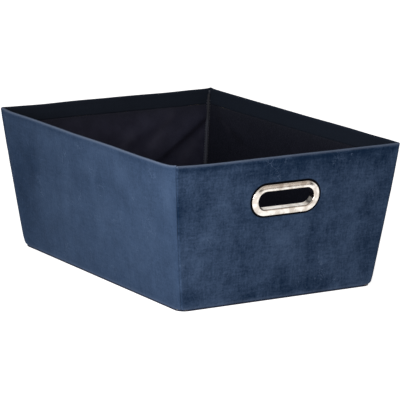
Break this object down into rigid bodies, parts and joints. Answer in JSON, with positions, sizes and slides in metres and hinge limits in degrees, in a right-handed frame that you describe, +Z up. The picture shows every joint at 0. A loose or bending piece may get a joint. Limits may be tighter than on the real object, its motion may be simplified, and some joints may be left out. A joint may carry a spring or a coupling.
{
  "type": "fabric storage bin",
  "caption": "Open rectangular storage bin with tapered, velvet-covered board walls, one oblong metal-trimmed hand hole in its front wall and a loose base board.",
  "frame": {"origin": "middle of the base, on the surface that the bin stands on", "axes": "+Z up, +Y along the bin's long side; the hand hole is in the -Y wall, the front"},
  "size_m": [0.291, 0.407, 0.162],
  "materials": {
    "velvet": "navy short-pile velvet, matt with a soft sheen",
    "chipboard": "plain grey-brown board, matt",
    "lining": "black non-woven cloth, matt",
    "binding_tape": "dark woven tape, matt",
    "nickel": "bright polished nickel"
  },
  "bodies": {
    "bin": {"front_cover": "velvet", "back_cover": "velvet", "left_cover": "velvet", "right_cover": "velvet", "front_board": "chipboard", "back_board": "chipboard", "left_board": "chipboard", "right_board": "chipboard", "front_liner": "lining", "back_liner": "lining", "left_liner": "lining", "right_liner": "lining", "base_cloth": "lining", "foot_seam_binding": "binding_tape", "front_left_corner_binding": "binding_tape", "front_right_corner_binding": "binding_tape", "back_right_corner_binding": "binding_tape", "back_left_corner_binding": "binding_tape", "front_grommet": "nickel", "front_grommet_backplate": "nickel"},
    "base_insert": {"insert_board": "chipboard", "insert_top_cloth": "lining", "insert_bottom_cloth": "lining"}
  },
  "joints": [
    {"name": "insert_lift", "type": "slide", "parent": "bin", "child": "base_insert", "axis": [0, 0, 1], "range_m": [0, 0.2]}
  ]
}
